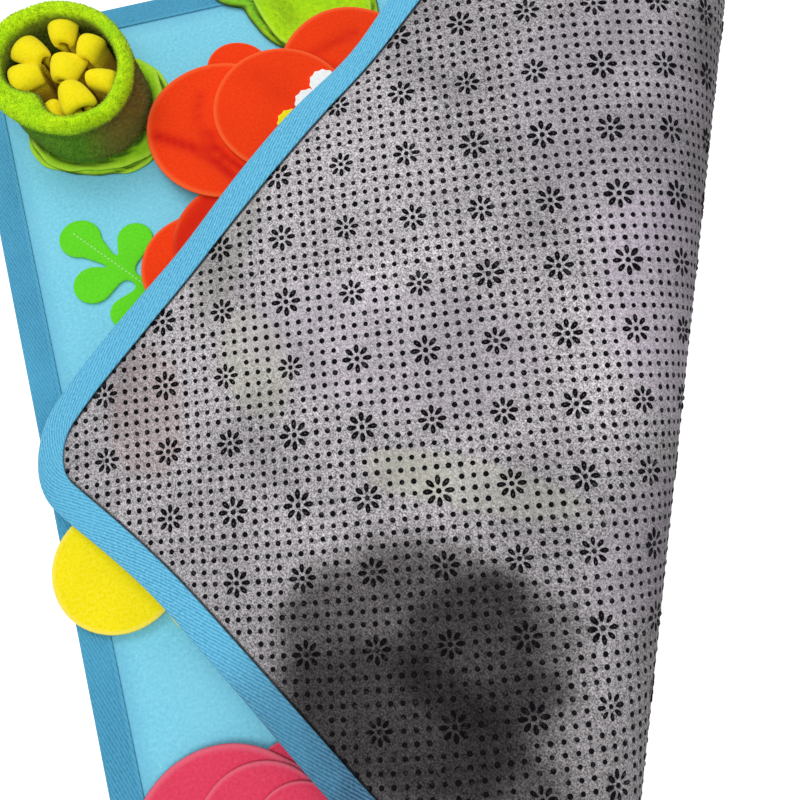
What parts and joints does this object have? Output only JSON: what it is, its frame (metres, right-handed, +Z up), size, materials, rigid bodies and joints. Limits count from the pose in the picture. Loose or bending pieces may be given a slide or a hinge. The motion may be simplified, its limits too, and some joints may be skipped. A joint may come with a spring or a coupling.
{
  "type": "snuffle mat",
  "caption": "Square sewn snuffle mat with one corner folded over, a plush cup of loops and flower, leaf and rosette shapes for hiding treats.",
  "frame": {"origin": "centre of the folded mat's box, on the surface it lies on", "axes": "+Z up, +Y towards the mat's top edge, which the fold leaves in front of the folded corner's high end, +X towards the fold"},
  "size_m": [0.457, 0.5926, 0.1106],
  "materials": {
    "dotted_felt": "needled felt with small raised dots",
    "panel_cloth": "brushed cloth",
    "binding_tape": "ribbed woven tape",
    "green_plush": "short-pile plush",
    "green_felt": "smooth felt",
    "yellow_fleece": "matte fleece",
    "red_fleece": "matte fleece",
    "white_fleece": "matte fleece",
    "pink_fleece": "matte fleece"
  },
  "bodies": {
    "root": {"backing_felt": "dotted_felt", "binding": "binding_tape", "cup_base_lower": "green_plush", "cup_base_upper": "green_plush", "cup_loop_1": "yellow_fleece", "cup_loop_2": "yellow_fleece", "cup_loop_3": "yellow_fleece", "cup_loop_4": "yellow_fleece", "cup_loop_5": "yellow_fleece", "cup_loop_6": "yellow_fleece", "cup_loop_7": "yellow_fleece", "cup_loop_8": "yellow_fleece", "cup_wall": "green_plush", "leaf_lower": "green_plush", "leaf_upper": "green_plush", "red_petal_behind": "red_fleece", "red_petal_bottom": "red_fleece", "red_petal_inner": "red_fleece", "red_petal_inner_right": "red_fleece", "red_petal_left": "red_fleece", "red_petal_low_left": "red_fleece", "red_petal_low_mid": "red_fleece", "red_petal_low_right": "red_fleece", "red_petal_right": "red_fleece", "red_petal_top_right": "red_fleece", "rosette_petal_behind": "pink_fleece", "rosette_petal_inner": "pink_fleece", "rosette_petal_middle": "pink_fleece", "rosette_petal_outer": "pink_fleece", "sprig": "green_felt", "top_panel": "panel_cloth", "white_tab_1": "white_fleece", "white_tab_2": "white_fleece", "white_tab_3": "white_fleece", "white_tab_4": "white_fleece", "white_tab_5": "white_fleece", "yellow_petal_left": "yellow_fleece", "yellow_petal_low": "yellow_fleece", "yellow_petal_right": "yellow_fleece", "yellow_petal_top": "yellow_fleece", "yellow_petal_top_left": "yellow_fleece", "yellow_tab_1": "yellow_fleece", "yellow_tab_2": "yellow_fleece", "yellow_tab_3": "yellow_fleece"}
  },
  "joints": []
}
